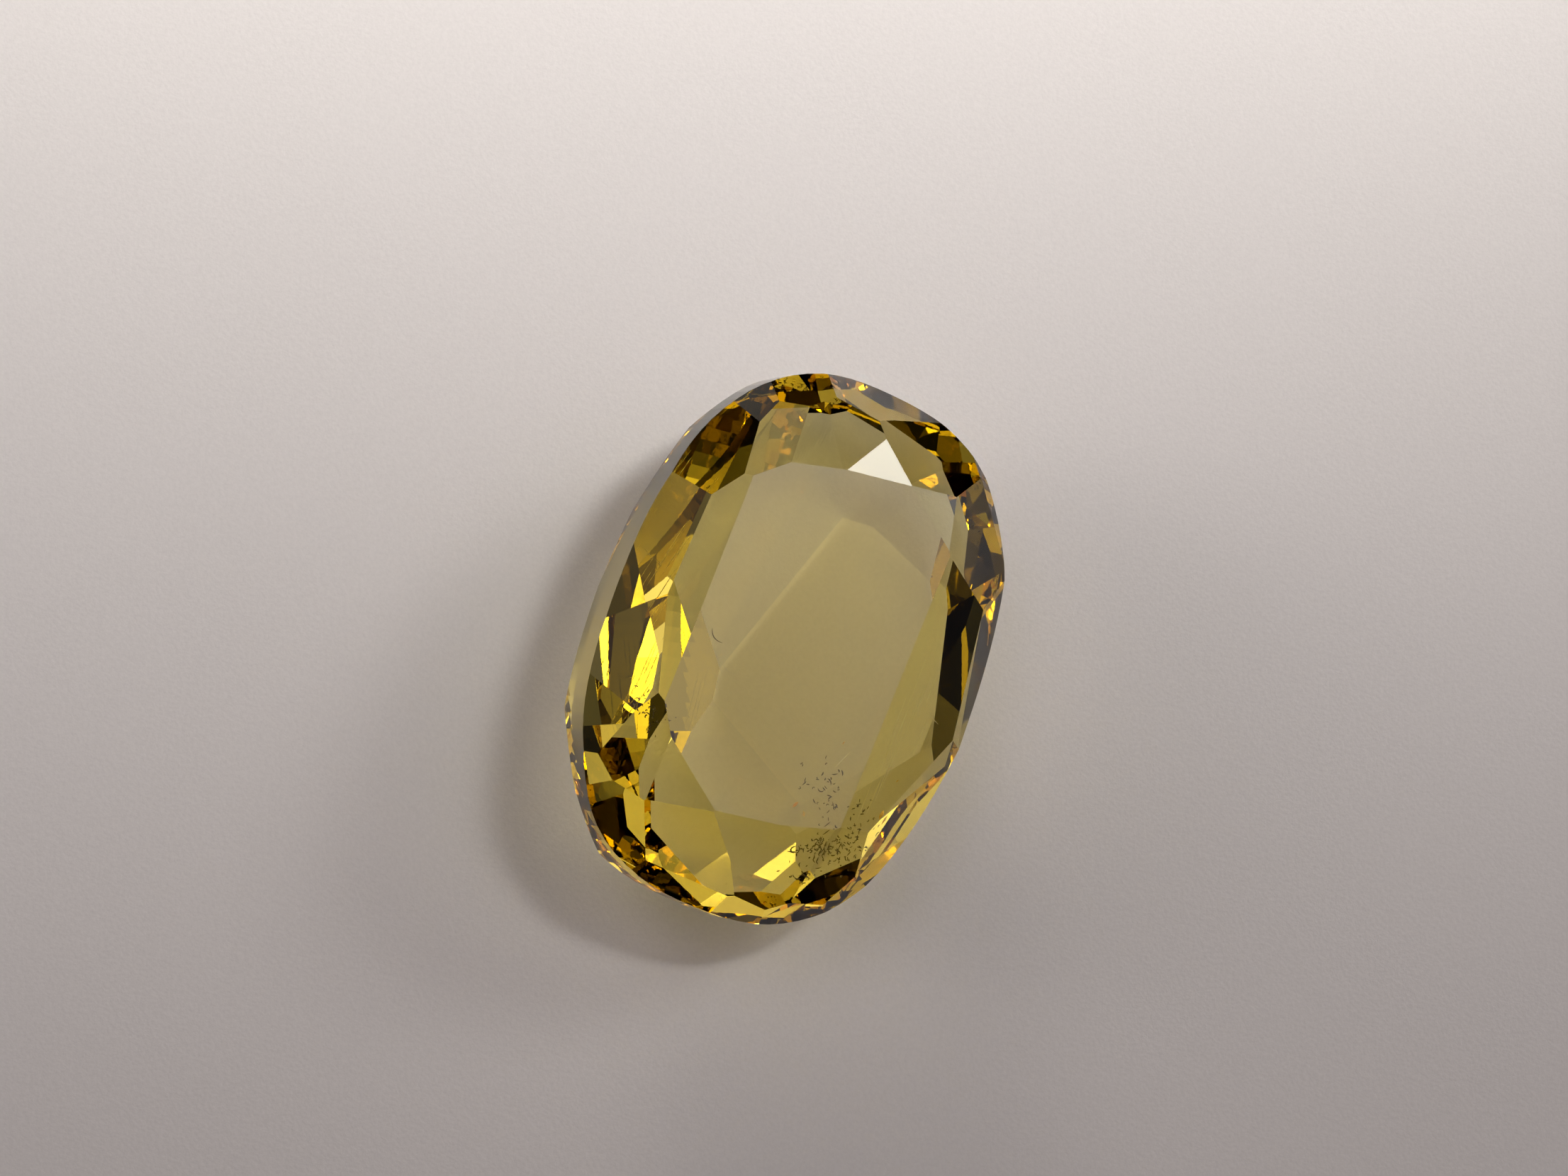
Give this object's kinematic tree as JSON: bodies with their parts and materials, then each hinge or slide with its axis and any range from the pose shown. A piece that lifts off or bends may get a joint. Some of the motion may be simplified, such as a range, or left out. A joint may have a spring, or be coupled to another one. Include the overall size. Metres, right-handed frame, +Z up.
{
  "type": "faceted yellow sapphire",
  "caption": "Long oval mixed-cut yellow gemstone: a wide flat table, sloping crown facets, thin girdle and stepped pavilion, lying on one broad pavilion facet.",
  "frame": {"origin": "centre of the lying stone's box, on the surface it rests on", "axes": "+Y along the stone's long axis, +Z up; the table's normal leans from +Z towards +X by the pitch of the facet it lies on"},
  "size_m": [0.0094, 0.013, 0.0053],
  "materials": {
    "sapphire": "polished clear crystal, warm yellow in the depth"
  },
  "bodies": {
    "root": {"sapphire": "sapphire"}
  },
  "joints": []
}
